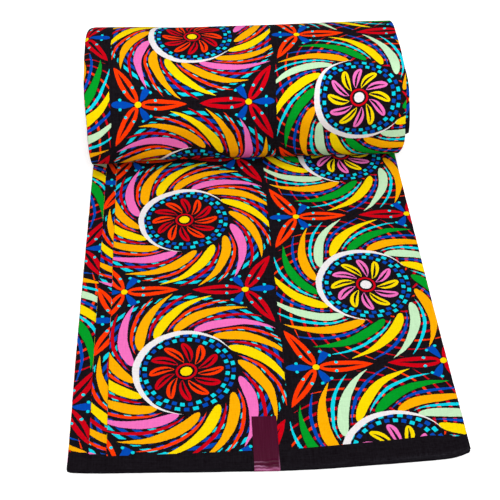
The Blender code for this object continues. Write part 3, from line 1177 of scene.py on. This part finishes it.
def labelSheet(finish, tree, path):
    section = labelSection()
    columns, last = label["columns"], len(section) - 1
    travelled = [0.0]
    for (y0, z0), (y1, z1) in zip(section, section[1:]):
        travelled.append(travelled[-1] + math.hypot(y1 - y0, z1 - z0))
    turnY = label["front"] + label["turnAt"] * label["bend"]
    edgeAt = next(run for run, (y, z) in zip(travelled, section) if y < turnY)
    points, faces = [], []
    for thickness in (0.0, label["film"]):  # the face below, then the one above
        for number, (y, z) in enumerate(section):
            before, after = section[max(number - 1, 0)], section[min(number + 1, last)]
            alongY, alongZ = after[0] - before[0], after[1] - before[1]
            reach = math.hypot(alongY, alongZ)
            for column in range(columns + 1):
                share = column / columns - 0.5
                x = label["centre"] + share * label["width"] + label["tilt"] * (y - label["tiltFrom"])
                rise = rippleAt(edgeAt - travelled[number], share) + thickness
                bow = bowAt(x, max(y, 0.0))
                points.append((x, y + alongZ / reach * rise + bow, z - alongY / reach * rise))
    places = [(column / columns, edgeAt - run) for run in travelled for column in range(columns + 1)] * 2

    def at(side, row, column):
        return (side * len(section) + row) * (columns + 1) + column

    def closeEdge(here, ahead, flip):
        strip = [at(0, *here), at(0, *ahead), at(1, *ahead), at(1, *here)]
        faces.append(strip[::-1] if flip else strip)

    for row in range(last):
        for column in range(columns):
            square = [(row, column), (row + 1, column), (row + 1, column + 1), (row, column + 1)]
            faces.append([at(1, *corner) for corner in square])
            faces.append([at(0, *corner) for corner in square[:1] + square[:0:-1]])
        closeEdge((row, 0), (row + 1, 0), False)
        closeEdge((row, columns), (row + 1, columns), True)
    for row in (0, last):
        for column in range(columns):
            closeEdge((row, column), (row, column + 1), row == 0)
    filmMap = [places[corner] for face in faces for corner in face]
    return rolledUp(meshOf("edgeLabel", points, faces, {"filmUV": filmMap}), tree, path, finish)


film = {
    "dark": (64, 4, 32),
    "light": (69, 8, 37),
    # painted highlight: the tint of the pale streaks where the film bends
    "highlightTint": (206, 140, 184),
    "bendHighlight": (158, 62, 112),  # painted highlight, a paler tone where it hangs down over the edge
    "bendHighlightAlong": (0.0012, -0.0020),
    "bendHighlightShare": 0.50,
    "rimFrom": 0.955,  # a painted highlight as a pale rim at the right side, towards the edge
    "rimAlong": (0.016, 0.003),
    "rimShare": 0.17,
    "cloudScale": 30.0,
    "waver": 0.004,  # of the painted highlights
    "waverScale": (3.0, 60.0),
    "streakIn": 0.25,
    "streakOut": 0.4,
    "roughness": (0.20, 0.28),
    "specular": 0.04,
}

# Painted highlights, pale streaks where the film bends: how far behind the edge, half width, from and to
# which share of the width, strength
filmHighlights = [
    (0.0054, 0.0007, -0.25, 0.60, 0.24),
    (0.0009, 0.0006, -0.30, 0.60, 0.50),
    (-0.0016, 0.0009, -0.08, 0.85, 0.55),
    (-0.0009, 0.0008, 0.55, 1.40, 0.26),
]


def labelFilm():
    made = bpy.data.materials.new("labelFilm")
    made.use_nodes = True
    tree = made.node_tree
    shader = tree.nodes["Principled BSDF"]
    tints = {name: (*linear(film[name]), 1.0) for name in ("dark", "light", "bendHighlight", "highlightTint")}
    place = Wire(newNode(tree, "ShaderNodeUVMap", uv_map="filmUV").outputs[0])
    across, behind, _ = place.split()
    cloud = Wire(newNode(tree, "ShaderNodeTexNoise", place, None, film["cloudScale"], 3.0).outputs[0])
    stretched = joinAxes(tree, across * film["waverScale"][0], behind * film["waverScale"][1], 0.0)
    waver = newNode(tree, "ShaderNodeTexNoise", stretched, None, 1.0, 2.0)
    behindHighlight = behind + (Wire(waver.outputs[0]) - 0.5) * film["waver"]
    colour = paint(tints["dark"], tints["light"], cloud.ramp(0.35, 0.65))
    # Painted highlights: a paler tone where the film hangs down, a pale rim at its right side and pale
    # streaks along the bend
    bendHighlight = behind.ramp(*film["bendHighlightAlong"], 0.0, film["bendHighlightShare"])
    colour = paint(colour, tints["bendHighlight"], bendHighlight)
    pale = across.above(film["rimFrom"]) * behind.ramp(*film["rimAlong"], 0.0, film["rimShare"])
    for back, halfWidth, fromSide, toSide, strength in filmHighlights:
        off = (behindHighlight - back) / halfWidth
        line = (off * off * -1.0).maths("EXPONENT") * strength
        line = line * across.ramp(fromSide, fromSide + film["streakIn"])
        line = line * across.ramp(toSide - film["streakOut"], toSide, 1.0, 0.0)
        pale = pale.maths("MAXIMUM", line)
    feed(shader.inputs["Base Color"], paint(colour, tints["highlightTint"], pale))
    feed(shader.inputs["Roughness"], cloud.ramp(0.3, 0.7, *film["roughness"]))
    shader.inputs["Specular IOR Level"].default_value = film["specular"]
    return made


# Building the bundle

tree = rollTree()
path = drawFoldPath()
printGroup, weave = sunPrintGroup(), weaveGroup()
built = {}
for name, piece in stackPieces.items():
    finish = printedCotton(name + "Cotton", piece, printGroup, weave)
    built[name] = rolledUp(flatLayers(name, piece), tree, path, finish)
built["edgeLabel"] = labelSheet(labelFilm(), tree, path)
bpy.data.objects.remove(path)

for name, piece in stackPieces.items():
    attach(built[name], "root")
    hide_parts(piece["standsFor"])
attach(built["edgeLabel"], "root")
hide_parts("edge_label")
print("pieces dressed")


# Floor, light and camera

studio = {
    "floor": (0.96, 0.96, 0.96, 1.0),
    "floorReach": 6.0,
    "floorHeight": -0.0006,
    "floorGlow": 0.15,
    "seenGlow": 0.28,  # what the camera sees of the floor is a little paler, as on a light table
    "seenBackdrop": 1.0,
    "ambient": 0.50,
    "cameraPlace": (-0.0568, -0.8035, 0.7658),
    "yaw": 3.62,  # degrees
    "pitch": 43.93,
    "roll": 0.73,
    "lens": 72.0,
    "sensor": 36.0,
}

lamps = [  # name, place, aim, size, power
    ("overhead", (0.0, 0.03, 0.85), (0.0, 0.03, 0.0), 0.4, 2.9),
    ("frontRight", (0.60, -1.65, 1.85), (0.0, 0.0, 0.05), 1.4, 19.0),
    ("frontLeft", (-0.50, -1.65, 1.85), (0.0, 0.0, 0.05), 1.4, 15.6),
]


def layFloor():
    reach, height = studio["floorReach"], studio["floorHeight"]
    shape = bpy.data.meshes.new("floor")
    corners = [(-reach, -reach), (reach, -reach), (reach, reach), (-reach, reach)]
    shape.from_pydata([(x, y, height) for x, y in corners], [], [(0, 1, 2, 3)])
    finish = bpy.data.materials.new("paleFloor")
    finish.use_nodes = True
    shader = finish.node_tree.nodes["Principled BSDF"]
    shader.inputs["Base Color"].default_value = studio["floor"]
    shader.inputs["Roughness"].default_value = 0.9
    shader.inputs["Specular IOR Level"].default_value = 0.0
    shader.inputs["Emission Color"].default_value = (1.0, 1.0, 1.0, 1.0)
    seen = Wire(newNode(finish.node_tree, "ShaderNodeLightPath").outputs["Is Camera Ray"])
    feed(shader.inputs["Emission Strength"], seen * studio["seenGlow"] + studio["floorGlow"])
    shape.materials.append(finish)
    linked("floor", shape)


def hangLamps():
    for name, place, aim, size, power in lamps:
        light = bpy.data.lights.new(name, "AREA")
        light.shape = "DISK"
        light.size = size
        light.energy = power
        made = linked(name, light)
        made.location = place
        made.rotation_euler = (Vector(aim) - Vector(place)).to_track_quat("-Z", "Y").to_euler()
        made.visible_camera = False


def setWorld():
    world = bpy.data.worlds.new("studio")
    world.use_nodes = True
    tree = world.node_tree
    backdrop = tree.nodes["Background"]
    seen = Wire(newNode(tree, "ShaderNodeLightPath").outputs["Is Camera Ray"])
    brighter = studio["seenBackdrop"] - studio["ambient"]
    feed(backdrop.inputs["Strength"], seen * brighter + studio["ambient"])
    backdrop.inputs["Color"].default_value = (1.0, 1.0, 1.0, 1.0)
    bpy.context.scene.world = world


def setCamera():
    yaw, pitch, roll = (math.radians(studio[turn]) for turn in ("yaw", "pitch", "roll"))
    ahead = Vector((math.sin(yaw) * math.cos(pitch), math.cos(yaw) * math.cos(pitch), -math.sin(pitch)))
    side = Vector((math.cos(yaw), -math.sin(yaw), 0.0))
    up = side.cross(ahead)
    right = side * math.cos(roll) + up * math.sin(roll)
    above = up * math.cos(roll) - side * math.sin(roll)
    eye = bpy.data.cameras.new("camera")
    eye.lens, eye.sensor_width = studio["lens"], studio["sensor"]
    made = linked("camera", eye)
    turn = Matrix((right, above, -ahead)).transposed()
    made.matrix_world = Matrix.Translation(studio["cameraPlace"]) @ turn.to_4x4()
    bpy.context.scene.camera = made


layFloor()
hangLamps()
setWorld()
setCamera()
bpy.context.scene.view_settings.view_transform = "Standard"
print("studio set")
